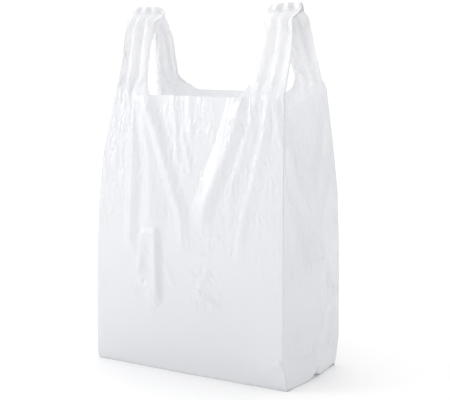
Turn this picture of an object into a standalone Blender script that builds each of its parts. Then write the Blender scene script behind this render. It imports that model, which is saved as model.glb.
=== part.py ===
"""Vest-type carrier bag: one tube of thin film with side gussets, die cut and heat sealed.

The film starts as an upright box of panels, which is what the gusseted tube opens into. The mouth
and the two hand holes are cut from it, and then every point is carried to where it is on the
standing bag: the walls taper to the mouth, the gussets swing in behind the mouth and out above the
floor, and the four layers of each handle meet in a seal. Metres, +Z up, front panel towards -Y,
origin on the floor under the middle of the bag.
"""

import bmesh
import bpy
import numpy as np
from mathutils import Matrix, Vector

# The flat film, measured along it.
PANEL_WIDTH = 0.280
GUSSET = 0.075  # from an outer fold to the gusset's centre crease
WALL_HEIGHT = 0.345  # from the floor fold to the mouth
STRAP_LENGTH = 0.135  # from the mouth to the end of the handle
STRAP_WIDTH = 0.060
SEAL_HEIGHT = 0.008
CUT_RADIUS = 0.018  # the die's corner radius, where a strap's edge runs out into the mouth

# Film, drawn thicker than the real 0.016 mm so that it makes a solid.
LAYER = 0.0004
LAYER_GAP = 0.0004  # between layers that lie on each other
FOLD_WIDTH = 0.0012  # the film turns within this distance of an outer fold
MOST_LAYERS = 4  # in the bottom seal
TUCK_LAYERS = 3  # where a gusset is folded in over the floor

# The box's cells. A gusset's cells are square under the fold, so that a tuck's edge follows them.
PANEL_CELLS = 14
GUSSET_CELLS = 5
WALL_CELLS = 12
CUT_CELLS = 3  # each leg of the die's corner
STRAP_CELLS = 4  # from the die's corner to the seal

# The opened bag's folds, as (height, x, y) from the floor to the mouth. The bag leans a little to
# its left, and stands wider at its right front corner.
FRONT_LEFT = (
    (0.000, -0.138, -0.0675),
    (0.140, -0.1355, -0.0675),
    (0.270, -0.1265, -0.0675),
    (0.345, -0.108, -0.0660),
)
FRONT_RIGHT = (
    (0.000, 0.143, -0.0675),
    (0.040, 0.1385, -0.0675),
    (0.230, 0.1365, -0.0675),
    (0.345, 0.1355, -0.0670),
)
BACK_RIGHT = (
    (0.000, 0.139, 0.0665),
    (0.040, 0.141, 0.0690),
    (0.225, 0.1400, 0.0675),
    (0.345, 0.1275, 0.0665),
)
BACK_LEFT = (
    (0.000, -0.138, 0.0665),
    (0.040, -0.139, 0.0690),
    (0.225, -0.1380, 0.0675),
    (0.345, -0.131, 0.0660),
)
# The gussets' centre creases: pressed out low down, folded in at the mouth.
CREASE_RIGHT = (
    (0.000, 0.152, 0.0000),
    (0.050, 0.154, 0.0000),
    (0.150, 0.157, 0.0000),
    (0.197, 0.144, 0.0000),
    (0.260, 0.120, 0.0000),
    (0.345, 0.100, 0.0000),
)
CREASE_LEFT = (
    (0.000, -0.152, 0.0000),
    (0.050, -0.154, 0.0000),
    (0.150, -0.157, 0.0000),
    (0.197, -0.142, 0.0000),
    (0.260, -0.114, 0.0000),
    (0.345, -0.090, 0.0010),
)

# Each handle's top edge, from the outer fold to the inner cut edge.
SEAL_LEFT = (Vector((-0.115, 0.0, 0.4520)), Vector((-0.079, 0.0, 0.4500)))
SEAL_RIGHT = (Vector((0.1245, 0.0, 0.4560)), Vector((0.0790, 0.0, 0.4520)))

FRONT_BULGE = 0.0075  # how far the middle of the front panel stands out from its two folds
BACK_BULGE = 0.0060
TUCK_LIFT = 0.018  # how far the gussets' lower ends stand off the floor
TUCK_RISE_WIDTH = PANEL_WIDTH / PANEL_CELLS  # the strip of the floor that rises to them

FILM_COLOUR = (0.90, 0.91, 0.93, 1.0)
FILM_ROUGHNESS = 0.32


def clear_scene():
    for obj in list(bpy.data.objects):
        bpy.data.objects.remove(obj)


def film_material():
    material = bpy.data.materials.new("white_film")
    material.use_nodes = True
    shader = material.node_tree.nodes["Principled BSDF"]
    shader.inputs["Base Color"].default_value = FILM_COLOUR
    shader.inputs["Roughness"].default_value = FILM_ROUGHNESS
    shader.inputs["Metallic"].default_value = 0.0
    return material


def cut_planes(low, high, cells):
    """The inner cuts that divide low to high into equal cells."""
    return np.linspace(low, high, cells + 1)[1:-1]


def panel_box():
    """The opened tube before it is shaped: a box with the cells that the shape needs, and no lid."""
    height = WALL_HEIGHT + STRAP_LENGTH
    box = bmesh.new()
    size = Matrix.Diagonal((PANEL_WIDTH, 2 * GUSSET, height, 1.0))
    bmesh.ops.create_cube(box, size=1.0, matrix=Matrix.Translation((0, 0, height / 2)) @ size)
    cuts = [(0, x) for x in cut_planes(-PANEL_WIDTH / 2, PANEL_WIDTH / 2, PANEL_CELLS)]
    cuts += [(1, y) for y in cut_planes(-GUSSET, GUSSET, 2 * GUSSET_CELLS)]
    cuts += [(0, side * (PANEL_WIDTH / 2 - FOLD_WIDTH)) for side in (-1, 1)]
    cuts += [(1, side * (GUSSET - FOLD_WIDTH)) for side in (-1, 1)]
    cuts += [(2, z) for z in cut_planes(0, WALL_HEIGHT, WALL_CELLS)]
    corner_top = WALL_HEIGHT + CUT_RADIUS
    cuts += [(2, z) for z in cut_planes(WALL_HEIGHT, corner_top, CUT_CELLS)]
    cuts += [(2, z) for z in cut_planes(corner_top, height - SEAL_HEIGHT, STRAP_CELLS)]
    cuts += [(2, WALL_HEIGHT), (2, corner_top), (2, height - SEAL_HEIGHT)]
    corner_x = PANEL_WIDTH / 2 - STRAP_WIDTH
    for x in (corner_x - CUT_RADIUS / 2, corner_x - CUT_RADIUS):
        cuts += [(0, x), (0, -x)]
    for axis, place in cuts:
        normal = Vector([float(axis == k) for k in range(3)])
        everything = box.verts[:] + box.edges[:] + box.faces[:]
        bmesh.ops.bisect_plane(box, geom=everything, plane_co=normal * place, plane_no=normal, dist=1e-6)
    return box


def cut_openings(box):
    """Cuts the mouth, the two hand holes and the lid away, which leaves four angle-shaped straps."""
    half_mouth = PANEL_WIDTH / 2 - STRAP_WIDTH
    half_hand_hole = GUSSET - STRAP_WIDTH
    lid = WALL_HEIGHT + STRAP_LENGTH - 1e-4

    def is_waste(face):
        x, y, z = face.calc_center_median()
        over_mouth = abs(x) < half_mouth and abs(y) > GUSSET - 1e-4
        over_hand_hole = abs(y) < half_hand_hole and abs(x) > PANEL_WIDTH / 2 - 1e-4
        return z > lid or (z > WALL_HEIGHT and (over_mouth or over_hand_hole))

    waste = [face for face in box.faces if is_waste(face)]
    bmesh.ops.delete(box, geom=waste, context="FACES")


def on_die_cut(from_fold, rise, stretch):
    """Takes a point of the square cut to the rounded one, as its distance from the outer fold and
    its height over the mouth. The die's corner runs from the strap's edge round to the mouth."""
    if rise > 0:
        along = CUT_RADIUS - rise
    else:
        along = CUT_RADIUS + (from_fold - STRAP_WIDTH) * stretch
    angle = np.pi / 2 * np.clip(along / (2 * CUT_RADIUS), 0, 1)
    return STRAP_WIDTH + CUT_RADIUS * (1 - np.cos(angle)), CUT_RADIUS * (1 - np.sin(angle))


def round_die_cuts(box):
    """Rounds the mouth's corners. The die cuts the gussets with the panels that they lie between, so
    a hand hole has the same corners, as far in as the gusset's crease."""
    crease_angle = np.arccos(1 - (GUSSET - STRAP_WIDTH) / CUT_RADIUS)
    crease_along = 2 * CUT_RADIUS * crease_angle / (np.pi / 2)
    gusset_stretch = (crease_along - CUT_RADIUS) / (GUSSET - STRAP_WIDTH)
    for vert in box.verts:
        x, y, z = vert.co
        rise = z - WALL_HEIGHT
        if not vert.is_boundary or rise > CUT_RADIUS - 1e-4:
            continue
        on_gusset = abs(x) > PANEL_WIDTH / 2 - 1e-4
        from_fold = GUSSET - abs(y) if on_gusset else PANEL_WIDTH / 2 - abs(x)
        past_the_corner = from_fold > STRAP_WIDTH + CUT_RADIUS - 1e-4
        if from_fold < STRAP_WIDTH - 1e-4 or past_the_corner:
            continue
        from_fold, rise = on_die_cut(from_fold, rise, gusset_stretch if on_gusset else 1)
        if on_gusset:
            vert.co.y = np.sign(y) * (GUSSET - from_fold)
        else:
            vert.co.x = np.sign(x) * (PANEL_WIDTH / 2 - from_fold)
        vert.co.z = WALL_HEIGHT + rise


def on_fold(fold, z):
    """The place of a fold at this height of film."""
    heights, xs, ys = zip(*fold)
    return Vector((np.interp(z, heights, xs), np.interp(z, heights, ys), z))


def on_panel(left, right, share, bulge):
    """A point of the front or back panel, which stands out a little between its two folds."""
    return left.lerp(right, share) + Vector((0, bulge * np.sin(np.pi * share), 0))


def on_wall(place):
    """Where a point of the box's front, back or sides is on the bag, up to the mouth."""
    x, y, z = place
    height = min(z, WALL_HEIGHT)
    front_left, front_right = on_fold(FRONT_LEFT, height), on_fold(FRONT_RIGHT, height)
    back_left, back_right = on_fold(BACK_LEFT, height), on_fold(BACK_RIGHT, height)
    share = x / PANEL_WIDTH + 0.5
    if y < -GUSSET + 1e-4:
        return on_panel(front_left, front_right, share, -FRONT_BULGE)
    if y > GUSSET - 1e-4:
        return on_panel(back_left, back_right, share, BACK_BULGE)
    if x > 0:
        front, crease, back = front_right, on_fold(CREASE_RIGHT, height), back_right
    else:
        front, crease, back = front_left, on_fold(CREASE_LEFT, height), back_left
    outer = front if y < 0 else back
    raised = crease.lerp(outer, abs(y) / GUSSET)
    rise = TUCK_LIFT * (1 - (y / GUSSET) ** 2)
    raised.z += rise * max(0.0, 1 - height / WALL_HEIGHT)
    return raised


def on_floor(place):
    """A point of the bottom: flat on the floor, and rising at both sides to the gussets' lower ends."""
    x, y, _ = place
    left, right = on_wall((-PANEL_WIDTH / 2, y, 0)), on_wall((PANEL_WIDTH / 2, y, 0))
    point = left.lerp(right, x / PANEL_WIDTH + 0.5)
    inside = PANEL_WIDTH / 2 - abs(x)
    point.z *= max(0.0, 1 - inside / TUCK_RISE_WIDTH)
    return point


def on_seal(place):
    """A point of a handle's top seal. Its four layers lie side by side, and meet at the outer fold."""
    x, y, z = place
    outer, inner = SEAL_RIGHT if x > 0 else SEAL_LEFT
    from_fold = max(PANEL_WIDTH / 2 - abs(x), GUSSET - abs(y)) / STRAP_WIDTH
    point = outer.lerp(inner, from_fold)
    gusset_face = LAYER_GAP / 2
    panel_face = gusset_face + 2 * LAYER + LAYER_GAP
    if from_fold < 1e-4:
        layer = (gusset_face + panel_face) / 2
    else:
        layer = panel_face if abs(y) > GUSSET - 1e-4 else gusset_face
    point.y = np.sign(y) * layer
    point.z -= max(0.0, WALL_HEIGHT + STRAP_LENGTH - z)
    return point


def on_strap(place):
    """A point of a strap: straight from the mouth or the gusset's top up to the foot of the seal."""
    x, y, z = place
    foot = WALL_HEIGHT + STRAP_LENGTH - SEAL_HEIGHT
    if z >= foot - 1e-4:
        return on_seal(place)
    share = (z - WALL_HEIGHT) / (foot - WALL_HEIGHT)
    return on_wall((x, y, WALL_HEIGHT)).lerp(on_seal((x, y, foot)), share)


def on_bag(place):
    x, y, z = place
    on_a_side = abs(x) > PANEL_WIDTH / 2 - 1e-4 or abs(y) > GUSSET - 1e-4
    if not on_a_side:
        return on_floor(place)
    if z <= WALL_HEIGHT:
        return on_wall(place)
    return on_strap(place)


def layers_at(place):
    """How many layers of film lie here: one, but more where the gussets are tucked and sealed."""
    x, y, z = place
    if z > 1e-4 or abs(y) > GUSSET - 1e-4:
        return 1
    if abs(y) < 1e-4:
        return MOST_LAYERS
    in_tuck = (PANEL_WIDTH / 2 - abs(x)) + abs(y) < GUSSET + 1e-4
    return TUCK_LAYERS if in_tuck else 1


def film_bag(collection):
    """The shaped film, given its thickness on the inside."""
    box = panel_box()
    cut_openings(box)
    round_die_cuts(box)
    layers = [layers_at(vert.co) for vert in box.verts]
    for vert in box.verts:
        vert.co = on_bag(vert.co)
    bmesh.ops.recalc_face_normals(box, faces=box.faces)
    mesh = bpy.data.meshes.new("carrier_bag")
    box.to_mesh(mesh)
    box.free()
    bag = bpy.data.objects.new("carrier_bag", mesh)
    collection.objects.link(bag)
    group = bag.vertex_groups.new(name="layers")
    for index, count in enumerate(layers):
        group.add([index], count / MOST_LAYERS, "REPLACE")
    shell = bag.modifiers.new("film", "SOLIDIFY")
    shell.thickness = LAYER * MOST_LAYERS
    shell.vertex_group = group.name
    shell.offset = -1
    shell.use_even_offset = False
    return bag


def seal_bar(name, ends, collection):
    """The weld that joins a handle's four layers, which it closes in: a flat bar along the seal."""
    outer, inner = ends
    along = inner - outer
    four_layers = 4 * LAYER + 3 * LAYER_GAP
    margin = LAYER / 2
    size = Matrix.Diagonal((along.length + margin, four_layers + margin, SEAL_HEIGHT + margin, 1.0))
    middle = (outer + inner) / 2 - Vector((0, 0, SEAL_HEIGHT / 2))
    turn = Vector((1, 0, 0)).rotation_difference(along).to_matrix().to_4x4()
    bar = bmesh.new()
    bmesh.ops.create_cube(bar, size=1.0, matrix=Matrix.Translation(middle) @ turn @ size)
    mesh = bpy.data.meshes.new(name)
    bar.to_mesh(mesh)
    bar.free()
    obj = bpy.data.objects.new(name, mesh)
    obj.hide_render = True
    obj.display_type = "WIRE"
    collection.objects.link(obj)
    return obj


def weld(bag, bar):
    join = bag.modifiers.new(bar.name, "BOOLEAN")
    join.operation = "UNION"
    join.object = bar


def main():
    clear_scene()
    parts = bpy.data.collections.new("carrier_bag")
    helpers = bpy.data.collections.new("welds")
    bpy.context.scene.collection.children.link(parts)
    bpy.context.scene.collection.children.link(helpers)
    bag = film_bag(parts)
    weld(bag, seal_bar("weld_left", SEAL_LEFT, helpers))
    weld(bag, seal_bar("weld_right", SEAL_RIGHT, helpers))
    bag.data.materials.append(film_material())


main()
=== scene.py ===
"""Looks for the vest-type carrier bag: its film, relaxed from the flat tube, and its stage.

The film is one grid round the gusseted tube: front panel, right gusset, back panel, left gusset.
No grid edge may grow past its length on the flat film, and shortening is resisted only a little.
The biggest folds and the crinkles are sculpted, as heights along the film's normals.
"""

import math

import bmesh
import bpy
import numpy as np
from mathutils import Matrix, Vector

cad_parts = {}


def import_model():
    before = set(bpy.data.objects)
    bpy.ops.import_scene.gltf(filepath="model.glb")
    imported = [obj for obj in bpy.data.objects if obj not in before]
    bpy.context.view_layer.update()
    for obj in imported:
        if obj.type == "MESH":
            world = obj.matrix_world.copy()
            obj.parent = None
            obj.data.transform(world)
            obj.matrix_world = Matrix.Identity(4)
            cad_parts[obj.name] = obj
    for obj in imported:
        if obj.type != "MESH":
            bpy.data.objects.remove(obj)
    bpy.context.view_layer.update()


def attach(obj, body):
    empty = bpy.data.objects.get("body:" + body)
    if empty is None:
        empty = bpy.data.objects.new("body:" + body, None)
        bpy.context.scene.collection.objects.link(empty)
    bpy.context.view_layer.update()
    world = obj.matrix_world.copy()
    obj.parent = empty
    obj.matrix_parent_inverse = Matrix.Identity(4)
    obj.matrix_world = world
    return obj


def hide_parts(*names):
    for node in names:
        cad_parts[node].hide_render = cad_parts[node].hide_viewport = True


# The flat film, in metres, as it is in the CAD source.
PANEL_WIDTH = 0.280
GUSSET = 0.075
FLOOR_FLAP = 0.070
WALL_HEIGHT = 0.345
STRAP_LENGTH = 0.135
STRAP_WIDTH = 0.060
CUT_RADIUS = 0.018
FILM_LENGTH = FLOOR_FLAP + WALL_HEIGHT + STRAP_LENGTH
MOUTH = FLOOR_FLAP + WALL_HEIGHT
ROUND = 2 * PANEL_WIDTH + 4 * GUSSET
SEAL_HEIGHT = 0.005

# The grid's spacing, its steps, passes a step and bending firmness: first coarse, then fine.
COARSE = 0.005
COARSE_STEPS = 260
COARSE_SWEEPS = 3
COARSE_BEND = 0.15
FINE = 0.0025
FINE_STEPS = 12
FINE_SWEEPS = 2
FINE_BEND = 0.08

# How much of its stretch an edge along the grid or across a cell takes back in one pass, and how
# much of its shortening.
STRETCH = 1.0
SHEAR = 0.8
SQUEEZE = 0.04

# What a step keeps of the last one's movement at first, and how far it drops and swells the film.
MOMENTUM = 0.85
SAG = 1.5e-5
SWELL = 1.5e-5

# The standing bag's folds, as (height on the wall, x, y).
FRONT_LEFT = (
    (0.000, -0.1360, -0.0675),
    (0.075, -0.1355, -0.0675),
    (0.140, -0.1340, -0.0675),
    (0.205, -0.1300, -0.0675),
    (0.270, -0.1210, -0.0675),
    (0.310, -0.1110, -0.0675),
    (0.345, -0.1030, -0.0670),
)
FRONT_RIGHT = (
    (0.000, 0.1440, -0.0675),
    (0.040, 0.1380, -0.0675),
    (0.110, 0.1377, -0.0675),
    (0.230, 0.1368, -0.0675),
    (0.345, 0.1375, -0.0670),
)
BACK_RIGHT = (
    (0.000, 0.1420, 0.0650),
    (0.040, 0.1445, 0.0690),
    (0.150, 0.1440, 0.0680),
    (0.225, 0.1410, 0.0670),
    (0.290, 0.1330, 0.0670),
    (0.345, 0.1250, 0.0670),
)
BACK_LEFT = (
    (0.000, -0.1360, 0.0650),
    (0.040, -0.1350, 0.0690),
    (0.225, -0.1350, 0.0675),
    (0.345, -0.1230, 0.0660),
)
CREASE_RIGHT = (
    (0.000, 0.1500, 0.0000),
    (0.050, 0.1510, 0.0000),
    (0.150, 0.1560, 0.0000),
    (0.197, 0.1430, 0.0000),
    (0.260, 0.1210, 0.0000),
    (0.345, 0.1085, -0.0010),
)
CREASE_LEFT = (
    (0.000, -0.1500, 0.0000),
    (0.050, -0.1510, 0.0000),
    (0.150, -0.1540, 0.0000),
    (0.197, -0.1400, 0.0000),
    (0.260, -0.1100, 0.0000),
    (0.345, -0.0860, -0.0010),
)
CREASE_LIFT = 0.014

# How far the panels bow out at the bottom and top, and how much more halfway up.
PANEL_BOW = 0.002
PANEL_BELLY = 0.003

# The tucked gussets' heights over the floor flaps, and their creases' reach out of the corner.
LOWER_TUCK = 0.0008
UPPER_TUCK = 0.0016
TUCK_REACH = 0.018

# The walls turn in over their lowest stretch, by these shares of the bag's width and depth.
HEM = 0.010
HEM_SHRINK = (0.012, 0.040)

# Each handle's top seal, from the outer fold to the inner cut edge: its top and its foot.
SEAL_LEFT = ((-0.1140, 0.0, 0.4525), (-0.0790, 0.0, 0.4515))
FOOT_LEFT = ((-0.1200, 0.0, 0.4475), (-0.0735, 0.0, 0.4462))
SEAL_RIGHT = ((0.1225, 0.0, 0.4560), (0.0825, 0.0, 0.4535))
FOOT_RIGHT = ((0.1245, 0.0, 0.4505), (0.0775, 0.0, 0.4475))
CORNER_DROP = 0.0016

# The shares of a strap's height over which it leaves the wall and closes on its seal.
STRAP_FOOT = 0.15
STRAP_CLOSING = 0.25

# Each strap from the mouth to its seal: the outer fold, the panel's cut edge and the gusset's.
STRAPS = {
    "front_left": (
        ((-0.103, -0.067, 0.345), (-0.1015, -0.058, 0.369), (-0.102, -0.050, 0.387),
         (-0.1085, -0.037, 0.411), (-0.1150, -0.021, 0.434)),
        ((-0.055, -0.067, 0.347), (-0.060, -0.060, 0.361), (-0.068, -0.045, 0.386),
         (-0.074, -0.030, 0.411), (-0.078, -0.016, 0.433)),
        ((-0.092, -0.013, 0.347), (-0.091, -0.012, 0.375), (-0.088, -0.010, 0.405),
         (-0.084, -0.005, 0.430)),
    ),
    "back_left": (
        ((-0.126, 0.066, 0.345), (-0.124, 0.060, 0.360), (-0.119, 0.049, 0.386),
         (-0.111, 0.035, 0.411), (-0.110, 0.018, 0.434)),
        ((-0.091, 0.066, 0.348), (-0.092, 0.060, 0.361), (-0.089, 0.047, 0.388),
         (-0.0845, 0.035, 0.411), (-0.079, 0.019, 0.431)),
        ((-0.093, 0.014, 0.347), (-0.095, 0.013, 0.375), (-0.092, 0.012, 0.405),
         (-0.086, 0.006, 0.430)),
    ),
    "front_right": (
        ((0.1375, -0.067, 0.345), (0.1360, -0.058, 0.369), (0.1350, -0.050, 0.387),
         (0.1300, -0.036, 0.411), (0.1220, -0.020, 0.434)),
        ((0.0870, -0.067, 0.347), (0.0888, -0.058, 0.370), (0.0872, -0.045, 0.395),
         (0.0856, -0.029, 0.421), (0.0810, -0.012, 0.442)),
        ((0.1030, -0.015, 0.347), (0.1000, -0.014, 0.375), (0.0950, -0.009, 0.405),
         (0.0880, -0.005, 0.430)),
    ),
    "back_right": (
        ((0.1250, 0.067, 0.345), (0.1215, 0.060, 0.360), (0.1196, 0.051, 0.382),
         (0.1204, 0.035, 0.411), (0.1213, 0.021, 0.434)),
        ((0.0830, 0.066, 0.348), (0.0850, 0.055, 0.372), (0.0830, 0.040, 0.403),
         (0.0800, 0.020, 0.431)),
        ((0.1140, 0.014, 0.347), (0.1100, 0.013, 0.375), (0.0970, 0.009, 0.405),
         (0.0880, 0.006, 0.430)),
    ),
}


def smoothstep(x):
    x = np.clip(x, 0.0, 1.0)
    return x * x * (3 - 2 * x)


def fold_at(fold, height):
    """Where a fold is at each height on the wall."""
    heights, xs, ys = zip(*fold)
    return np.stack([np.interp(height, heights, xs), np.interp(height, heights, ys), height], -1)


def along(points, share):
    """The place this share of the way along a polyline."""
    points = np.array(points, float)
    length = np.concatenate([[0], np.cumsum(np.linalg.norm(np.diff(points, axis=0), axis=1))])
    return np.stack([np.interp(share * length[-1], length, points[:, k]) for k in range(3)], -1)


def mix(a, b, share):
    """The places this share of the way from a to b."""
    return a + (b - a) * np.asarray(share)[..., None]


# How many cells away the die's line may be for a rim point to move sideways onto it.
SNAP_CELLS = 1.6


class Film:
    """The tube's grid at one spacing: columns round the tube, rows up it."""

    def __init__(self, cell):
        self.cell = cell
        self.columns = round(ROUND / cell)
        self.rows = round(FILM_LENGTH / cell) + 1
        u = np.arange(self.columns) * cell
        v = np.arange(self.rows) * cell
        self.u, self.v = np.meshgrid(u, v, indexing="ij")
        self.find_panels()
        self.cut()

    def find_panels(self):
        """Finds each point's panel, its side and its distance from the nearest outer fold."""
        u = self.u
        edges = np.cumsum([0, PANEL_WIDTH, 2 * GUSSET, PANEL_WIDTH, 2 * GUSSET])
        self.on_front = u <= edges[1] + 1e-6
        self.on_back = (u >= edges[2] - 1e-6) & (u <= edges[3] + 1e-6)
        self.on_gusset = ~(self.on_front | self.on_back)
        gusset_end = np.where(u < edges[2], PANEL_WIDTH, 0.0)
        self.across = np.select([self.on_front, self.on_back], [u, edges[3] - u], gusset_end)
        right = (u > edges[1]) & (u < edges[2])
        from_front = np.where(right, u - edges[1], edges[4] - u)
        self.front_half = np.where(self.on_gusset, from_front < GUSSET + 1e-6, self.on_front)
        self.right = np.where(self.on_gusset, right, self.across > PANEL_WIDTH / 2)
        on_panel = np.minimum(self.across, PANEL_WIDTH - self.across)
        on_gusset = np.minimum(from_front, 2 * GUSSET - from_front)
        self.from_fold = np.where(self.on_gusset, on_gusset, on_panel)

    def cut(self):
        """Marks the cells that the die leaves, and moves the rim's points onto the die's line."""
        s, v = self.from_fold, self.v - MOUTH
        middle_s = (s + np.roll(s, -1, 0))[:, :-1] / 2
        middle_v = v[:, :-1] + self.cell / 2
        self.kept = (middle_v < 0) | (middle_s < strap_edge(middle_v))
        around = np.zeros(self.u.shape, int)
        for du in (0, 1):
            rolled = np.roll(self.kept, du, 0)
            around[:, :-1] += rolled
            around[:, 1:] += rolled
        self.used = around > 0
        rim = self.used & (around < 4) & (v > -self.cell) & (self.v < FILM_LENGTH - 1e-6)
        flat_s, self.flat_v = s.copy(), self.v.copy()
        over_mouth = rim & (v > 1e-4)
        edge = strap_edge(v)
        snap = over_mouth & (np.abs(edge - s) < SNAP_CELLS * self.cell)
        flat_s[snap] = edge[snap]
        low = over_mouth & ~snap
        self.flat_v[low] = MOUTH + mouth_rise(s[low])
        self.shift = np.where(self.used, flat_s - s, 0.0)


def strap_edge(rise):
    """How far from the outer fold the film reaches at this height over the mouth."""
    inside = np.clip(CUT_RADIUS - rise, 0, CUT_RADIUS)
    flare = CUT_RADIUS - np.sqrt(np.maximum(CUT_RADIUS**2 - inside**2, 0))
    return STRAP_WIDTH + np.where(rise < CUT_RADIUS, flare, 0.0)


def mouth_rise(s):
    """How high over the mouth the film reaches, this far from the outer fold."""
    inside = np.clip(STRAP_WIDTH + CUT_RADIUS - s, 0, CUT_RADIUS)
    return CUT_RADIUS - np.sqrt(np.maximum(CUT_RADIUS**2 - inside**2, 0))


# Each strap's pleats: how many, what share of the spare width they take up, and the greatest spare
# width. At the seal: the layers' spacing and the pleats' height.
PLEATS = 3.0
PLEAT_SHARE = 0.4
MOST_SLACK = 0.8
LAYER_GAP = 0.0007
SEAL_SWING = 0.0011


def gathered(a, b, share, way_out):
    """Across a strap from its fold a to its edge b, with the spare width in upright pleats."""
    across = (b - a)[..., :2]
    chord = np.maximum(np.linalg.norm(b - a, axis=-1), 1e-4)
    slack = np.clip(STRAP_WIDTH / chord - 1, 0, MOST_SLACK)
    height = PLEAT_SHARE * 2 * np.sqrt(slack) * chord / (2 * math.pi * PLEATS)
    wave = np.sin(share * PLEATS * 2 * math.pi) * height * way_out
    way = across / np.maximum(np.linalg.norm(across, axis=-1, keepdims=True), 1e-6)
    point = a + (b - a) * share[..., None]
    point[..., 0] -= way[..., 1] * wave
    point[..., 1] += way[..., 0] * wave
    return point


def on_seal(film, top, foot, drop):
    """The top seal: the strap's width pressed into the seal's, in four close layers."""
    share = film.from_fold / STRAP_WIDTH
    upper = mix(np.array(top[0]), np.array(top[1]), share)
    lower = mix(np.array(foot[0]), np.array(foot[1]), share)
    point = mix(upper, lower, drop)
    wave = -np.sin(share * PLEATS * 2 * math.pi) * SEAL_SWING
    side = np.where(film.front_half, -1.0, 1.0)
    layer = np.where(film.on_gusset, 0.5, 1.5) * LAYER_GAP * side
    point[..., 1] += wave + layer
    point[..., 2] -= CORNER_DROP * np.abs(2 * share - 1) ** 6 * (1 - drop)
    return point


def start(film):
    """Where each point of the film is before it relaxes."""
    height = np.clip(film.v - FLOOR_FLAP, 0, WALL_HEIGHT)
    front_left, front_right = fold_at(FRONT_LEFT, height), fold_at(FRONT_RIGHT, height)
    back_left, back_right = fold_at(BACK_LEFT, height), fold_at(BACK_RIGHT, height)
    share = film.across / PANEL_WIDTH
    front = mix(front_left, front_right, share)
    back = mix(back_left, back_right, share)
    depth = PANEL_BOW + PANEL_BELLY * np.sin(math.pi * height / WALL_HEIGHT)
    bulge = np.sin(math.pi * share) * depth
    front[..., 1] -= bulge
    back[..., 1] += bulge
    outer_right = np.where(film.front_half[..., None], front_right, back_right)
    outer_left = np.where(film.front_half[..., None], front_left, back_left)
    outer = np.where(film.right[..., None], outer_right, outer_left)
    crease_right, crease_left = fold_at(CREASE_RIGHT, height), fold_at(CREASE_LEFT, height)
    crease = np.where(film.right[..., None], crease_right, crease_left)
    inward = film.from_fold / GUSSET
    side = mix(outer, crease, inward)
    lift = CREASE_LIFT * (1 - (1 - inward) ** 2)
    side[..., 2] += lift * np.clip(1 - height / WALL_HEIGHT, 0, 1)
    wall = np.where(film.on_front[..., None], front, np.where(film.on_back[..., None], back, side))

    # The floor: the panels' flaps, and the gussets' tucks folded in over them.
    up = np.clip(film.v / FLOOR_FLAP, 0, 1)
    flap = wall.copy()
    flap[..., 1] *= up
    flap[..., 2] = 0.0
    sign = np.where(film.right, 1.0, -1.0)
    corner = outer.copy()
    low = corner.copy()
    low[..., 0] -= sign * film.from_fold
    low[..., 1] *= up
    low[..., 2] = LOWER_TUCK
    high = corner.copy()
    high[..., 0] -= sign * GUSSET * (1 - up)
    high[..., 1] *= 1 - inward
    high[..., 2] = UPPER_TUCK + lift * up
    high[..., 0] += sign * TUCK_REACH * inward * up
    tuck = np.where((inward + up <= 1)[..., None], low, high)
    floor = np.where(film.on_gusset[..., None], tuck, flap)
    place = np.where((film.v < FLOOR_FLAP)[..., None], floor, wall)
    tucked = np.clip(1 - height / HEM, 0, 1) ** 2
    place[..., :2] *= 1 - tucked[..., None] * np.array(HEM_SHRINK)

    # The straps: from the wall's top to the foot of the seal.
    foot = FILM_LENGTH - SEAL_HEIGHT
    drop = np.clip((FILM_LENGTH - film.v) / SEAL_HEIGHT, 0, 1)
    right_seal = on_seal(film, SEAL_RIGHT, FOOT_RIGHT, drop)
    left_seal = on_seal(film, SEAL_LEFT, FOOT_LEFT, drop)
    seal = np.where(film.right[..., None], right_seal, left_seal)
    climb = np.clip((film.v - MOUTH) / (foot - MOUTH), 0, 1)
    width_share = film.from_fold / STRAP_WIDTH
    strap = np.zeros_like(wall)
    for name, (fold, edge, gusset_edge) in STRAPS.items():
        front, right = name.startswith("front"), name.endswith("right")
        here = (film.front_half == front) & (film.right == right)
        outer_end, inner_end = FOOT_RIGHT if right else FOOT_LEFT
        nudge = np.array((0, -0.001 if front else 0.001, 0))
        way_out = 1 if front == right else -1
        outer_end, inner_end = tuple(outer_end + nudge), tuple(inner_end + nudge)
        fold = along(fold + (outer_end,), climb)
        panel_edge = along(edge + (inner_end,), climb)
        gusset_rim = along(gusset_edge + (inner_end,), climb)
        panel = gathered(fold, panel_edge, width_share, way_out)
        gusset = gathered(fold, gusset_rim, width_share, way_out)
        shape = np.where(film.on_gusset[..., None], gusset, panel)
        strap = np.where(here[..., None], shape, strap)
    strap = mix(wall, strap, smoothstep(climb / STRAP_FOOT))
    near_seal = smoothstep((climb - (1 - STRAP_CLOSING)) / STRAP_CLOSING)
    strap = mix(strap, seal, near_seal**3)
    strap = np.where((film.v >= foot - 1e-6)[..., None], seal, strap)
    return np.where((film.v > MOUTH)[..., None], strap, place)


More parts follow.
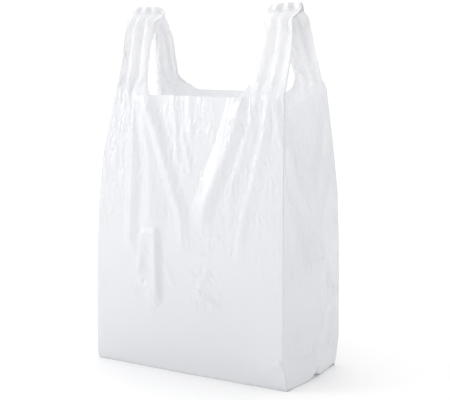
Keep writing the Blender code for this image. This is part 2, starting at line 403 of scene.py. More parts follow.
class Relaxer:
    """Moves the film's points to regain each edge's flat length, by passes over disjoint pairs."""

    def __init__(self, film, points, held):
        self.film = film
        self.points = points.astype(np.float32)
        self.free = np.where(held | ~film.used, 0.0, 1.0).astype(np.float32)
        self.make_pairs()

    def flat(self):
        """Flat coordinates round and up the film, with the rim's moves to the die's line."""
        film = self.film
        step = np.roll(film.from_fold, -1, 0) - film.from_fold
        way = np.where(np.roll(step, 1, 0) + step >= 0, 1.0, -1.0)
        return film.u + film.shift * way, film.flat_v

    def make_pairs(self):
        film = self.film
        u, v = self.flat()
        kept = film.kept
        near = np.zeros(u.shape, bool)
        near[:, :-1] |= kept
        near[:, 1:] |= kept
        along_u = near
        along_v = kept | np.roll(kept, 1, 0)
        self.pairs = []
        nu = film.columns

        def rest(a_u, a_v, b_u, b_v):
            du = b_u - a_u
            du = du - ROUND * np.round(du / ROUND)
            return np.sqrt(du**2 + (b_v - a_v) ** 2).astype(np.float32)

        def add(roll, a, b, mask, stretch, squeeze):
            ru, rv = np.roll(u, -roll, 0), np.roll(v, -roll, 0)
            free = np.roll(self.free, -roll, 0)
            length = rest(ru[a], rv[a], ru[b], rv[b])
            here = np.roll(mask, -roll, 0)[a[0], : length.shape[1]]
            shares = self.shares(free[a], free[b], here)
            self.pairs.append((roll, a, b, length, *shares, stretch, squeeze))

        even, odd = slice(0, nu, 2), slice(1, nu, 2)
        rows = film.rows
        for roll in (0, 1):
            add(roll, (even, slice(None)), (odd, slice(None)), along_u, STRETCH, SQUEEZE)
            add(roll, (even, slice(0, rows - 1)), (odd, slice(1, rows)), kept, SHEAR, SQUEEZE)
            add(roll, (even, slice(1, rows)), (odd, slice(0, rows - 1)), kept, SHEAR, SQUEEZE)
        self.vertical = []
        for first in (0, 1):
            a = (slice(None), slice(first, rows - 1, 2))
            b = (slice(None), slice(first + 1, rows, 2))
            length = rest(u[a], v[a], u[b], v[b])
            here = along_v[:, first::2][:, : length.shape[1]]
            self.vertical.append((a, b, length, *self.shares(self.free[a], self.free[b], here)))
        on_crease = film.on_gusset & (film.from_fold > GUSSET - 1e-6)
        on_fold = (film.from_fold < 1e-6) | on_crease
        both_u = along_u & np.roll(along_u, -1, 0) & ~np.roll(on_fold, -1, 0)
        off_floor_edge = np.abs(film.v[:, 1:-1] - FLOOR_FLAP) > 1e-6
        both_v = along_v[:, :-1] & along_v[:, 1:] & off_floor_edge
        self.bend_u, self.bend_v = [], []
        for roll in (0, 2):
            ru, rv = np.roll(u, -roll, 0), np.roll(v, -roll, 0)
            free, here = np.roll(self.free, -roll, 0), np.roll(both_u, -roll, 0)
            shape = (nu // 4, 4, rows)
            ru, rv, free, here = (x.reshape(shape) for x in (ru, rv, free, here))
            length = rest(ru[:, :2], rv[:, :2], ru[:, 2:], rv[:, 2:])
            shares = self.shares(free[:, :2], free[:, 2:], here[:, :2])
            self.bend_u.append((roll, length, *shares))
        for first in range(4):
            a = (slice(None), slice(first, rows - 2, 4))
            b = (slice(None), slice(first + 2, rows, 4))
            length = rest(u[a], v[a], u[b], v[b])
            here = both_v[:, first::4][:, : length.shape[1]]
            self.bend_v.append((a, b, length, *self.shares(self.free[a], self.free[b], here)))

    @staticmethod
    def shares(free_a, free_b, here):
        """How much of its correction each end of a pair takes: none if that end is held."""
        total = np.maximum(free_a + free_b, 1e-6)
        share_a = (free_a / total * here).astype(np.float32)
        share_b = (free_b / total * here).astype(np.float32)
        return share_a, share_b

    @staticmethod
    def pull(pa, pb, length, ca, cb, stretch, squeeze):
        """Moves pairs of points towards their rest lengths, in place."""
        d = pb - pa
        now = np.sqrt(np.einsum("...k,...k->...", d, d)) + 1e-9
        off = 1 - length / now
        off *= np.where(off > 0, np.float32(stretch), np.float32(squeeze))
        pa += d * (off * ca)[..., None]
        pb -= d * (off * cb)[..., None]

    def sweep(self, bend):
        """One pass over every pair: along the grid, across its cells, and two cells apart."""
        p = self.points
        for roll in (0, 1):
            q = np.roll(p, -roll, 0) if roll else p
            for r, a, b, length, ca, cb, stretch, squeeze in self.pairs:
                if r == roll:
                    self.pull(q[a], q[b], length, ca, cb, stretch, squeeze)
            p = np.roll(q, roll, 0) if roll else q
        for a, b, length, ca, cb in self.vertical:
            self.pull(p[a], p[b], length, ca, cb, STRETCH, SQUEEZE)
        if bend:
            for roll, length, ca, cb in self.bend_u:
                q = np.roll(p, -roll, 0) if roll else p
                q4 = q.reshape(q.shape[0] // 4, 4, q.shape[1], 3)
                self.pull(q4[:, :2], q4[:, 2:], length, ca, cb, 0.0, bend)
                p = np.roll(q, roll, 0) if roll else q
            for a, b, length, ca, cb in self.bend_v:
                self.pull(p[a], p[b], length, ca, cb, 0.0, bend)
        self.points = p


def normals(points):
    """The film's outward normals at its points."""
    p = points.astype(np.float32)
    du = np.roll(p, -1, 0) - np.roll(p, 1, 0)
    dv = np.empty_like(p)
    dv[:, 1:-1] = p[:, 2:] - p[:, :-2]
    dv[:, 0] = p[:, 1] - p[:, 0]
    dv[:, -1] = p[:, -1] - p[:, -2]
    n = np.cross(du, dv)
    return n / (np.linalg.norm(n, axis=-1, keepdims=True) + 1e-9)


# How firmly each part of the film is held near its start in x, y and z, as a share a step.
PANEL_HOLD = (0, 0.12, 0)
GUSSET_HOLD = (0.2, 0.02, 0)
MOUTH_HOLD = (0, 0.12, 0.3)
CREASE_HOLD = (0.5, 0.3, 0.0)
CREASE_FOOT_HOLD = 0.4
STRAP_EDGE_HOLD = (0.3, 0.3, 0.01)
FOLD_HOLD = (0.6, 0.6, 0.02)
CORNER_HOLD = 0.5

# A strap's hold, how much it rises by the top, where it begins to, how soon, and z's share of it.
STRAP_HOLD = 0.03
STRAP_TOP_HOLD = 0.3
HOLD_RISE_FROM = 0.045
HOLD_RISE_OVER = 0.035
STRAP_HOLD_Z = 0.2


def guides(film):
    """How firmly each point is held near its start: most at the folds and the straps' edges."""
    hold = np.zeros(film.u.shape + (3,), np.float32)
    wall = (film.v > FLOOR_FLAP - 1e-6) & (film.v < FILM_LENGTH)
    strap = wall & (film.v > MOUTH + CUT_RADIUS)
    hold[wall & ~film.on_gusset] = PANEL_HOLD
    hold[wall & film.on_gusset] = GUSSET_HOLD
    rise = smoothstep((film.v - FILM_LENGTH + HOLD_RISE_FROM) / HOLD_RISE_OVER)
    firm = STRAP_HOLD + STRAP_TOP_HOLD * rise
    hold[strap] = (firm[..., None] * np.array((1, 1, STRAP_HOLD_Z)))[strap]
    rim = np.abs(film.v - MOUTH) < film.cell * 1.1
    hold[rim & ~film.on_gusset & (film.from_fold > STRAP_WIDTH)] = MOUTH_HOLD
    crease = film.on_gusset & (film.from_fold > GUSSET - 1e-6) & wall
    hold[crease] = CREASE_HOLD
    hold[crease & (film.v < FLOOR_FLAP + HEM)] = CREASE_FOOT_HOLD
    hold[strap & (np.abs(film.from_fold - STRAP_WIDTH) < 1e-6)] = STRAP_EDGE_HOLD
    hold[wall & (film.from_fold < 1e-6)] = FOLD_HOLD
    corner = (np.abs(film.v - FLOOR_FLAP) < 1e-6) & (film.from_fold < 1e-6)
    hold[corner] = CORNER_HOLD
    return hold


# How high over the floor the film is kept: the tucks' lower layer, then their upper one.
LOWER_LAYER = 0.0006
UPPER_LAYER = 0.0012


def relax(film, points, steps, bend, sweeps):
    """Relaxes the film from these points, held near its folded start."""
    held = film.v > FILM_LENGTH - SEAL_HEIGHT - 1e-6
    held |= film.v < 1e-6
    target = raised(start(film), fold_heights(film)).astype(np.float32)
    work = Relaxer(film, points, held)
    hold = guides(film)
    tucked = film.on_gusset & (film.v < FLOOR_FLAP)
    upper = tucked & (film.from_fold / GUSSET + film.v / FLOOR_FLAP > 1)
    floor_z = np.where(tucked, LOWER_LAYER, 0.0)
    floor_z = np.where(upper, UPPER_LAYER, floor_z).astype(np.float32)
    free = work.free[..., None]
    before = work.points.copy()
    for step in range(steps):
        moved = work.points - before
        before = work.points.copy()
        work.points += moved * np.float32(MOMENTUM * (1 - step / steps)) * free
        work.points[..., 2] -= np.float32(SAG) * free[..., 0]
        work.points += normals(work.points) * np.float32(SWELL) * free
        for _ in range(sweeps):
            work.sweep(bend)
        work.points += (target - work.points) * hold
        np.maximum(work.points[..., 2], floor_z, out=work.points[..., 2])
    return work.points


def finer(points):
    """The same film on a grid of half the spacing."""
    nu, nv, _ = points.shape
    out = np.empty((nu * 2, nv * 2 - 1, 3), points.dtype)
    out[::2, ::2] = points
    out[1::2, ::2] = (points + np.roll(points, -1, 0)) / 2
    out[:, 1::2] = (out[:, :-1:2] + out[:, 2::2]) / 2
    return out


# Folds that cross the front panel: points as (share of its width, height), then how far the crest
# stands out, and how far its slopes run on its left and on its right.
FRONT_FOLDS = (
    (((0.185, 0.370), (0.175, 0.321), (0.180, 0.287), (0.189, 0.243), (0.194, 0.181), (0.195, 0.139)),
     0.0040, 0.012, 0.012),
    (((0.205, 0.360), (0.249, 0.305), (0.289, 0.271), (0.301, 0.236), (0.302, 0.201), (0.285, 0.165)),
     0.0055, 0.014, 0.028),
    (((0.225, 0.350), (0.308, 0.309), (0.371, 0.272), (0.430, 0.230), (0.479, 0.205), (0.496, 0.150)),
     0.0042, 0.010, 0.014),
    (((0.790, 0.352), (0.745, 0.308), (0.703, 0.277), (0.647, 0.243), (0.612, 0.217), (0.585, 0.180)),
     0.0062, 0.022, 0.014),
    (((0.839, 0.350), (0.822, 0.305), (0.756, 0.255), (0.715, 0.202)), 0.0024, 0.008, 0.009),
    (((0.925, 0.360), (0.888, 0.296), (0.863, 0.263), (0.835, 0.238), (0.794, 0.196), (0.765, 0.150)),
     0.0030, 0.006, 0.012),
    (((0.951, 0.350), (0.985, 0.290)), 0.0018, 0.006, 0.006),
    (((0.412, 0.350), (0.433, 0.302), (0.457, 0.262)), 0.0022, 0.007, 0.005),
    (((0.469, 0.307), (0.519, 0.258)), 0.0020, 0.006, 0.005),
    (((0.501, 0.350), (0.524, 0.285)), 0.0018, 0.008, 0.004),
    (((0.465, 0.263), (0.497, 0.250), (0.540, 0.265)), 0.0014, 0.004, 0.004),
    (((0.267, 0.185), (0.246, 0.135), (0.229, 0.117)), 0.0034, 0.006, 0.012),
    (((0.229, 0.117), (0.300, 0.105), (0.363, 0.084)), 0.0024, 0.006, 0.008),
    (((0.342, 0.190), (0.355, 0.131), (0.363, 0.084)), 0.0060, 0.022, 0.006),
    (((0.300, 0.165), (0.290, 0.140), (0.320, 0.112)), -0.0020, 0.006, 0.006),
    (((0.395, 0.145), (0.453, 0.113)), 0.0016, 0.006, 0.008),
    (((0.640, 0.140), (0.573, 0.119)), 0.0018, 0.006, 0.006),
    (((0.560, 0.115), (0.691, 0.093)), 0.0022, 0.006, 0.007),
    (((0.595, 0.179), (0.690, 0.181)), 0.0010, 0.004, 0.004),
    (((0.565, 0.156), (0.635, 0.157)), 0.0010, 0.004, 0.004),
    (((0.505, 0.137), (0.580, 0.131)), 0.0010, 0.004, 0.004),
    (((0.870, 0.025), (0.950, 0.031), (0.995, 0.036)), 0.0030, 0.008, 0.008),
)
# The same on the back panel, whose share runs from its right fold to its left one.
BACK_FOLDS = (
    (((0.200, 0.370), (0.240, 0.310), (0.290, 0.250), (0.310, 0.170)), 0.0045, 0.016, 0.024),
    (((0.120, 0.360), (0.130, 0.300), (0.150, 0.220), (0.155, 0.120)), 0.0030, 0.010, 0.014),
    (((0.230, 0.350), (0.330, 0.300), (0.430, 0.240), (0.500, 0.150)), 0.0035, 0.010, 0.018),
    (((0.780, 0.350), (0.700, 0.290), (0.620, 0.230), (0.560, 0.160)), 0.0050, 0.020, 0.014),
    (((0.840, 0.360), (0.810, 0.280), (0.760, 0.190), (0.740, 0.110)), 0.0035, 0.012, 0.012),
    (((0.910, 0.360), (0.900, 0.290), (0.870, 0.210)), 0.0025, 0.008, 0.012),
    (((0.420, 0.345), (0.460, 0.300), (0.480, 0.250)), 0.0020, 0.008, 0.006),
    (((0.560, 0.345), (0.540, 0.300), (0.570, 0.260)), 0.0020, 0.006, 0.009),
    (((0.300, 0.150), (0.370, 0.110), (0.460, 0.095)), 0.0024, 0.008, 0.010),
    (((0.600, 0.130), (0.680, 0.100), (0.790, 0.090)), 0.0022, 0.008, 0.008),
)
# The same on the right side, from its front fold to its back one.
SIDE_FOLDS = (
    (((0.480, 0.175), (0.620, 0.145), (0.760, 0.105)), -0.0030, 0.012, 0.010),
    (((0.930, 0.330), (0.800, 0.270), (0.640, 0.230)), 0.0024, 0.012, 0.012),
    (((0.960, 0.250), (0.760, 0.215), (0.600, 0.190)), 0.0016, 0.012, 0.010),
    (((0.080, 0.300), (0.200, 0.230), (0.300, 0.120)), -0.0028, 0.012, 0.016),
    (((0.100, 0.150), (0.240, 0.090), (0.300, 0.030)), 0.0020, 0.016, 0.014),
    (((0.900, 0.120), (0.760, 0.070), (0.600, 0.030)), 0.0020, 0.014, 0.014),
    (((0.020, 0.055), (0.250, 0.040), (0.450, 0.050)), 0.0026, 0.010, 0.014),
)

# Where each part of the tube begins, round it.
FRONT = 0.0
RIGHT_SIDE = 0.280
BACK = 0.430
LEFT_SIDE = 0.710

# Crinkled patches of small creases, each as: the part of the tube; where round it and how high; the
# way that the creases lean, in degrees (0 is upright, positive is to the right), and its spread; how
# many there are; and their lengths, half widths and heights. Distances are in millimetres.
PATCHES = (
    (FRONT, (108, 168), (240, 342), (0, 30), 34, (16, 50), (3, 6), (0.8, 1.9)),
    (FRONT, (212, 240), (260, 345), (12, 10), 26, (22, 65), (2.8, 4.5), (0.8, 1.7)),
    (FRONT, (196, 222), (200, 270), (16, 14), 18, (16, 44), (2.8, 4.5), (0.7, 1.5)),
    (FRONT, (236, 274), (280, 345), (6, 10), 20, (20, 60), (2.8, 4.5), (0.6, 1.4)),
    (FRONT, (58, 104), (86, 175), (12, 60), 28, (12, 36), (2.8, 5.5), (1, 2.4)),
    (FRONT, (128, 150), (165, 215), (-20, 60), 16, (6, 16), (3, 4), (0.6, 1.4)),
    (FRONT, (140, 195), (92, 200), (82, 30), 34, (10, 26), (3, 4.5), (0.5, 1.2)),
    (FRONT, (195, 275), (130, 260), (70, 50), 24, (8, 22), (3, 4.5), (0.4, 0.9)),
    (FRONT, (8, 80), (220, 345), (-5, 8), 16, (40, 110), (2.6, 3.6), (0.7, 1.4)),
    (FRONT, (190, 272), (230, 345), (14, 7), 26, (40, 110), (2.6, 3.6), (0.7, 1.5)),
    (FRONT, (90, 130), (230, 330), (-22, 8), 8, (30, 70), (2.6, 3.6), (0.5, 1)),
    (FRONT, (5, 50), (200, 345), (6, 16), 26, (20, 60), (3.5, 7), (0.6, 1.5)),
    (FRONT, (0, 280), (100, 340), (0, 90), 40, (15, 50), (4, 9), (0.3, 0.7)),
    (RIGHT_SIDE, (0, 150), (20, 345), (20, 50), 40, (30, 80), (6, 14), (0.4, 1)),
    (LEFT_SIDE, (0, 150), (20, 345), (-20, 50), 46, (30, 80), (6, 14), (0.8, 2)),
    (BACK, (10, 110), (150, 345), (15, 20), 60, (20, 60), (4, 8), (0.8, 2)),
    (BACK, (170, 270), (150, 345), (-15, 20), 60, (20, 60), (4, 8), (0.8, 2)),
    (BACK, (90, 190), (120, 330), (0, 60), 50, (14, 40), (3.5, 7), (0.6, 1.6)),
    (BACK, (0, 280), (10, 200), (0, 90), 50, (20, 60), (4, 10), (0.4, 1)),
    (FRONT, (0, 60), (345, 460), (3, 14), 50, (15, 55), (2.6, 5), (0.6, 1.5)),
    (FRONT, (220, 280), (345, 460), (-3, 14), 60, (15, 55), (2.6, 5), (0.6, 1.5)),
    (RIGHT_SIDE, (80, 150), (290, 420), (-14, 8), 18, (40, 100), (2.6, 4), (0.7, 1.5)),
    (RIGHT_SIDE, (0, 150), (345, 460), (0, 12), 50, (20, 55), (3.5, 6), (0.6, 1.4)),
    (BACK, (0, 60), (345, 460), (0, 14), 30, (20, 55), (3.5, 6), (0.6, 1.4)),
    (BACK, (220, 280), (345, 460), (0, 14), 30, (20, 55), (3.5, 6), (0.6, 1.4)),
    (LEFT_SIDE, (0, 150), (345, 460), (0, 12), 50, (20, 55), (3.5, 6), (0.6, 1.4)),
)
CRINKLE_SEED = 11
CRINKLE_GAIN = 1.2

# A small crease's chance of standing in. As shares of its length, its most bow and its ends' taper.
INWARD_CHANCE = 0.4
MOST_BOW = 0.15
CRINKLE_TAPER = 0.3

# How far the crumpled look reaches beside a crease, in half widths, and the height that gives it all.
CRUMPLE_REACH = 2.5
CRUMPLE_FULL = 1.5
CRUMPLE_HEIGHT = 0.0009

# A designed fold's rise from its upright end's foot and its fall to its top, as shares of its length.
FOLD_RISE = 0.2
FOLD_FALL = 0.12


def fold_heights(film):
    """How far the designed folds stand out of the film."""
    out = np.zeros(film.u.shape)
    panels = (
        (FRONT_FOLDS, FRONT, PANEL_WIDTH, film.on_front),
        (BACK_FOLDS, BACK, PANEL_WIDTH, film.on_back),
        (SIDE_FOLDS, RIGHT_SIDE, 2 * GUSSET, film.on_gusset & film.right),
    )
    for folds, left_edge, width, here in panels:
        for points, height, left, right in folds:
            line = [(left_edge + share * width, up + FLOOR_FLAP) for share, up in points]
            if line[0][1] > line[-1][1]:
                line.reverse()
            out += np.where(here, crest(film, np.array(line), left, right) * height, 0.0)
    return out


def crest(film, line, left, right):
    """1 along a line up the film, falling to 0 this far to its left and right and at its ends."""
    lengths = np.linalg.norm(np.diff(line, axis=0), axis=1)
    total, begun = lengths.sum(), 0.0
    nearest = np.full(film.u.shape, 1e9)
    value = np.zeros(film.u.shape)
    for a, b, length in zip(line[:-1], line[1:], lengths):
        way = (b - a) / length
        t = np.clip((film.u - a[0]) * way[0] + (film.v - a[1]) * way[1], 0, length)
        du, dv = film.u - a[0] - way[0] * t, film.v - a[1] - way[1] * t
        away = np.hypot(du, dv)
        reach = np.where(du * way[1] - dv * way[0] > 0, right, left)
        done = (begun + t) / total
        ends = smoothstep(done / FOLD_RISE) * smoothstep((1 - done) / FOLD_FALL)
        here = np.clip(1 - away / reach, 0, 1) * ends
        value = np.where(away < nearest, here, value)
        nearest = np.minimum(nearest, away)
        begun += length
    return value


def crinkle_heights(film):
    """How far the small creases stand in or out, and how crumpled the film is, from 0 to 1."""
    rng = np.random.default_rng(CRINKLE_SEED)
    out = np.zeros(film.u.shape)
    crumpled = np.zeros(film.u.shape)
    for part, around, up, (lean, spread), count, lengths, widths, heights in PATCHES:
        left, right = (part + mm / 1000 for mm in around)
        for _ in range(count):
            cu = rng.uniform(left, right)
            cv = between(rng, up) + FLOOR_FLAP
            angle = math.radians(lean + rng.uniform(-spread, spread))
            length = between(rng, lengths)
            width = between(rng, widths)
            height = between(rng, heights)
            height *= rng.choice((-1, 1), p=(INWARD_CHANCE, 1 - INWARD_CHANCE))
            bow = rng.uniform(-MOST_BOW, MOST_BOW) * length
            window = cells_near(film, cu, cv, length / 2 + width)
            du = film.u[window] - cu
            du = du - ROUND * np.round(du / ROUND)
            dv = film.v[window] - cv
            t = du * math.sin(angle) + dv * math.cos(angle)
            away = du * math.cos(angle) - dv * math.sin(angle) + bow * (4 * (t / length) ** 2 - 1)
            away = np.abs(away) / width
            taper = smoothstep((length / 2 - np.abs(t)) / (CRINKLE_TAPER * length))
            out[window] += height * np.clip(1 - away, 0, 1) * taper
            near = np.clip(CRUMPLE_FULL - away / CRUMPLE_REACH, 0, 1) * taper
            near = near * min(abs(height) / CRUMPLE_HEIGHT, 1)
            crumpled[window] = np.maximum(crumpled[window], near)
    return out, crumpled


def between(rng, millimetres):
    """A random length in this range of millimetres, in metres."""
    low, high = (mm / 1000 for mm in millimetres)
    return rng.uniform(low, high)


def cells_near(film, u, v, distance):
    """The grid's columns and rows within this distance of a place on the flat film."""
    reach = int(distance / film.cell) + 1
    column, row = round(u / film.cell), round(v / film.cell)
    columns = np.arange(column - reach, column + reach + 1) % film.columns
    rows = np.arange(max(0, row - reach), min(film.rows, row + reach + 1))
    return np.ix_(columns, rows)


def raised(points, heights):
    """The film with each point moved this far out along its normal."""
    return points + normals(points) * heights[..., None]


# Raised heights fade out this near to the outer folds and the seals. The straps are this crumpled.
FOLD_MARGIN = 0.006
SEAL_MARGIN = 0.010
STRAP_CRUMPLE = 0.3


def film_points():
    """The fine grid, its points on the standing bag and how crumpled each of them is."""
    film = Film(COARSE)
    folds = fold_heights(film)
    points = relax(film, raised(start(film), folds), COARSE_STEPS, COARSE_BEND, COARSE_SWEEPS)
    fine = Film(FINE)
    points = finer(points)
    calm = smoothstep(fine.from_fold / FOLD_MARGIN) * (fine.v > FLOOR_FLAP)
    calm = calm * smoothstep((FILM_LENGTH - SEAL_HEIGHT - fine.v) / SEAL_MARGIN)
    sharper = fold_heights(fine) - finer(folds[..., None])[..., 0]
    crinkles, crumpled = crinkle_heights(fine)
    crumpled = np.where(fine.v > MOUTH, np.maximum(crumpled, STRAP_CRUMPLE), crumpled)
    points = raised(points, (sharper + crinkles * CRINKLE_GAIN) * calm)
    points = relax(fine, points, FINE_STEPS, FINE_BEND, FINE_SWEEPS)
    return fine, points, crumpled


def unwrapped(u):
    """Which corners of each four are at 0 on a cell whose others are at the tube's far side."""
    cells = u.reshape(-1, 4)
    return ((cells < 0.1) & (cells.max(1, keepdims=True) > ROUND - 0.1)).ravel()


# Where the film's gathered colour, partly painted light, begins, under the mouth, and how far up it
# takes to be complete.
GATHER_BELOW = 0.005
GATHER_OVER = 0.045


def film_mesh(film, points, crumpled):
    """The bag's mesh, with its flat coordinates in metres and what its material reads."""
    mesh = bpy.data.meshes.new("bag_film")
    index = -np.ones(film.u.shape, int)
    index[film.used] = np.arange(film.used.sum())
    a, b = index[:, :-1], index[:, 1:]
    c, d = np.roll(a, -1, 0), np.roll(b, -1, 0)
    quads = np.stack([a, c, d, b], -1)[film.kept]
    mesh.from_pydata(points[film.used].tolist(), [], quads.tolist())
    mesh.validate()
    mesh.shade_smooth()
    # Whiter up the straps: partly the gathered layers, partly painted light for the straps' upward
    # tilt towards the bright ceiling.
    gathered_and_lit = smoothstep((film.v - MOUTH + GATHER_BELOW) / GATHER_OVER)
    for name, values in (("crumpled", crumpled), ("gathered", gathered_and_lit)):
        attribute = mesh.attributes.new(name, "FLOAT", "POINT")
        attribute.data.foreach_set("value", values[film.used])
    corner = np.empty(len(mesh.loops), np.int32)
    mesh.loops.foreach_get("vertex_index", corner)
    flat = np.stack([film.u, film.v], -1)[film.used][corner]
    flat[..., 0] = np.where(unwrapped(flat[..., 0]), flat[..., 0] + ROUND, flat[..., 0])
    mesh.uv_layers.new(name="film").data.foreach_set("uv", flat.ravel())
    bag = bpy.data.objects.new("bag_film", mesh)
    bpy.context.scene.collection.objects.link(bag)
    return bag


# The film's colour varies a little between the first two, and is the third where it is gathered:
# whiter for the stacked layers, and partly painted light for the straps' upward tilt towards the
# bright ceiling.
COOL_WHITE = (0.820, 0.838, 0.875, 1)
WARM_WHITE = (0.850, 0.856, 0.878, 1)
GATHERED_AND_LIT_WHITE = (0.965, 0.970, 0.985, 1)
CLOUD_SCALE = 14.0
ROUGHNESS = 0.19
SPECULAR = 1.0

# What comes through the film: its colour and its share.
THROUGH = (0.93, 0.93, 0.94, 1)
THROUGH_SHARE = 0.34

# The finest creases, as bump: how much longer than wide, how many a metre round, and how high in
# metres. The share of them where the film is smooth. How much noise bends them, and its scale.
FACETS = ((4.0, 120.0, 0.0014), (2.0, 250.0, 0.0005))
SMOOTH_SHARE = 0.12
BEND = (0.012, 0.012, 0)
BEND_SCALE = 45.0


def film_material():
    """White film: glossy, a little translucent, finely crumpled where the mesh is."""
    material = bpy.data.materials.new("white_film")
    material.use_nodes = True
    nodes, links = material.node_tree.nodes, material.node_tree.links

    def noise(scale, detail):
        node = nodes.new("ShaderNodeTexNoise")
        node.noise_dimensions = "2D"
        node.inputs["Scale"].default_value = scale
        node.inputs["Detail"].default_value = detail
        links.new(flat.outputs[0], node.inputs["Vector"])
        return node

    def attribute(name):
        node = nodes.new("ShaderNodeAttribute")
        node.attribute_name = name
        return node.outputs["Fac"]

    def joined(kind, operation, *inputs):
        """A maths node's output. Each input is a constant or the socket that feeds it."""
        node = nodes.new(kind)
        node.operation = operation
        for socket, value in zip(node.inputs, inputs):
            if isinstance(value, bpy.types.NodeSocket):
                links.new(value, socket)
            else:
                socket.default_value = value
        return node.outputs[0]

    def facets(stretch, scale, height):
        """Flat facets with sharp edges between them, this much longer up the film than round it."""
        size = (scale, scale / stretch, 1)
        cells = nodes.new("ShaderNodeTexVoronoi")
        cells.voronoi_dimensions = "2D"
        cells.feature = "DISTANCE_TO_EDGE"
        cells.inputs["Scale"].default_value = 1.0
        links.new(joined("ShaderNodeVectorMath", "MULTIPLY", bent, size), cells.inputs["Vector"])
        return joined("ShaderNodeMath", "MULTIPLY", cells.outputs["Distance"], height)

    def blend(factor, first, second):
        node = nodes.new("ShaderNodeMix")
        node.data_type = "RGBA"
        links.new(factor, node.inputs[0])
        for socket, value in ((node.inputs[6], first), (node.inputs[7], second)):
            if isinstance(value, bpy.types.NodeSocket):
                links.new(value, socket)
            else:
                socket.default_value = value
        return node.outputs[2]

    flat = nodes.new("ShaderNodeUVMap")
    flat.uv_map = "film"
    warp = noise(BEND_SCALE, 3.0).outputs["Color"]
    bent = joined("ShaderNodeVectorMath", "MULTIPLY_ADD", warp, BEND, flat.outputs[0])
    total = joined("ShaderNodeMath", "ADD", facets(*FACETS[0]), facets(*FACETS[1]))
    share = nodes.new("ShaderNodeMapRange")
    share.inputs["To Min"].default_value = SMOOTH_SHARE
    links.new(attribute("crumpled"), share.inputs["Value"])
    bump = nodes.new("ShaderNodeBump")
    bump.inputs["Strength"].default_value = 1.0
    bump.inputs["Distance"].default_value = 1.0
    height = joined("ShaderNodeMath", "MULTIPLY", total, share.outputs[0])
    links.new(height, bump.inputs["Height"])

    # Layers gathered on one another look whiter than one layer does; the straps' whiter colour is
    # also partly painted light, for their upward tilt towards the bright ceiling.
    cloud = noise(CLOUD_SCALE, 2.0).outputs["Fac"]
    colour = blend(attribute("gathered"), blend(cloud, COOL_WHITE, WARM_WHITE), GATHERED_AND_LIT_WHITE)

    shader = nodes["Principled BSDF"]
    links.new(colour, shader.inputs["Base Color"])
    links.new(bump.outputs[0], shader.inputs["Normal"])
    shader.inputs["Roughness"].default_value = ROUGHNESS
    shader.inputs["Specular IOR Level"].default_value = SPECULAR
    through = nodes.new("ShaderNodeBsdfTranslucent")
    through.inputs["Color"].default_value = THROUGH
    both = nodes.new("ShaderNodeMixShader")
    both.inputs[0].default_value = THROUGH_SHARE
    links.new(shader.outputs[0], both.inputs[1])
    links.new(through.outputs[0], both.inputs[2])
    links.new(both.outputs[0], nodes["Material Output"].inputs["Surface"])
    return material


# The photograph's camera: how far round from the front and down it looks, in degrees, its lens and
# sensor in millimetres, and its place.
AZIMUTH = 31.26
DOWN = 8.63
LENS = 90.3
SENSOR = 36
CAMERA_PLACE = (0.746, -1.201, 0.424)


def add_camera():
    azimuth, down = math.radians(AZIMUTH), math.radians(DOWN)
    level = math.cos(down)
    back = Vector((math.sin(azimuth) * level, -math.cos(azimuth) * level, math.sin(down)))
    data = bpy.data.cameras.new("camera")
    data.lens = LENS
    data.sensor_width = SENSOR
    camera = bpy.data.objects.new("camera", data)
    camera.location = CAMERA_PLACE
    camera.rotation_mode = "QUATERNION"
    camera.rotation_quaternion = (-back).to_track_quat("-Z", "Y")
    bpy.context.scene.collection.objects.link(camera)
    bpy.context.scene.camera = camera


FLOOR_REACH = 6.0
FLOOR_WHITE = (0.90, 0.90, 0.90, 1)
FLOOR_ROUGHNESS = 0.7


def add_stage():
    mesh = bpy.data.meshes.new("floor")
    bm = bmesh.new()
    bmesh.ops.create_grid(bm, x_segments=1, y_segments=1, size=FLOOR_REACH)
    bm.to_mesh(mesh)
    bm.free()
    floor = bpy.data.objects.new("floor", mesh)
    bpy.context.scene.collection.objects.link(floor)
    material = bpy.data.materials.new("floor")
    material.use_nodes = True
    shader = material.node_tree.nodes["Principled BSDF"]
    shader.inputs["Base Color"].default_value = FLOOR_WHITE
    shader.inputs["Roughness"].default_value = FLOOR_ROUGHNESS
    mesh.materials.append(material)


# The room's brightness at its walls, towards its dimmest side and overhead, and the cosine of the
# angle to the dimmest side at which the walls begin to dim.
DIM_SIDE = (0.80, -0.60, 0.0)
DIM_FROM = -0.3
WALL_LIGHT = 1.02
DIM_LIGHT = 0.35
CEILING_LIGHT = 1.35

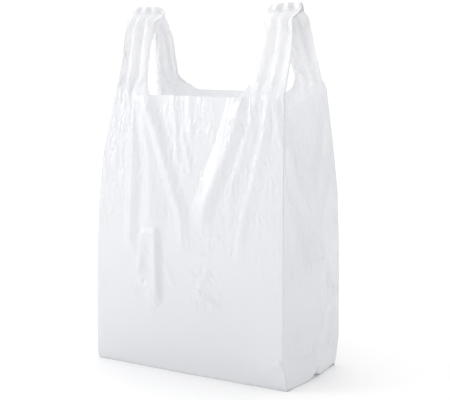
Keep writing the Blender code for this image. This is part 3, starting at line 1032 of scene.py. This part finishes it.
# The soft box on the left: its place, what it faces, its size in metres and its watts.
BOX_PLACE = (-1.6, -1.1, 0.75)
BOX_AIM = (0, 0, 0.22)
BOX_SIZE = (0.8, 1.0)
BOX_POWER = 9


def add_soft_box():
    data = bpy.data.lights.new("left", "AREA")
    data.shape = "RECTANGLE"
    data.size, data.size_y = BOX_SIZE
    data.energy = BOX_POWER
    light = bpy.data.objects.new("left", data)
    light.location = BOX_PLACE
    light.rotation_mode = "QUATERNION"
    light.rotation_quaternion = (Vector(BOX_AIM) - Vector(BOX_PLACE)).to_track_quat("-Z", "Y")
    bpy.context.scene.collection.objects.link(light)


def add_room():
    """A white room round the stage, brightest overhead and dimmer towards its near right side."""
    world = bpy.data.worlds.new("world")
    bpy.context.scene.world = world
    world.use_nodes = True
    nodes, links = world.node_tree.nodes, world.node_tree.links
    where = nodes.new("ShaderNodeTexCoord")
    nearness = nodes.new("ShaderNodeVectorMath")
    nearness.operation = "DOT_PRODUCT"
    nearness.inputs[1].default_value = DIM_SIDE
    links.new(where.outputs["Generated"], nearness.inputs[0])
    wall = nodes.new("ShaderNodeMapRange")
    wall.inputs["From Min"].default_value = DIM_FROM
    wall.inputs["To Min"].default_value = WALL_LIGHT
    wall.inputs["To Max"].default_value = DIM_LIGHT
    links.new(nearness.outputs["Value"], wall.inputs["Value"])
    split = nodes.new("ShaderNodeSeparateXYZ")
    links.new(where.outputs["Generated"], split.inputs[0])
    room = nodes.new("ShaderNodeMix")
    links.new(split.outputs["Z"], room.inputs["Factor"])
    links.new(wall.outputs[0], room.inputs["A"])
    room.inputs["B"].default_value = CEILING_LIGHT
    links.new(room.outputs[0], nodes["Background"].inputs["Strength"])
    nodes["Background"].inputs["Color"].default_value = (1, 1, 1, 1)
    bpy.context.scene.view_settings.view_transform = "Standard"


def main():
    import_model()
    bag = film_mesh(*film_points())
    bag.data.materials.append(film_material())
    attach(bag, "root")
    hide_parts("carrier_bag")
    add_camera()
    add_stage()
    add_room()
    add_soft_box()


main()
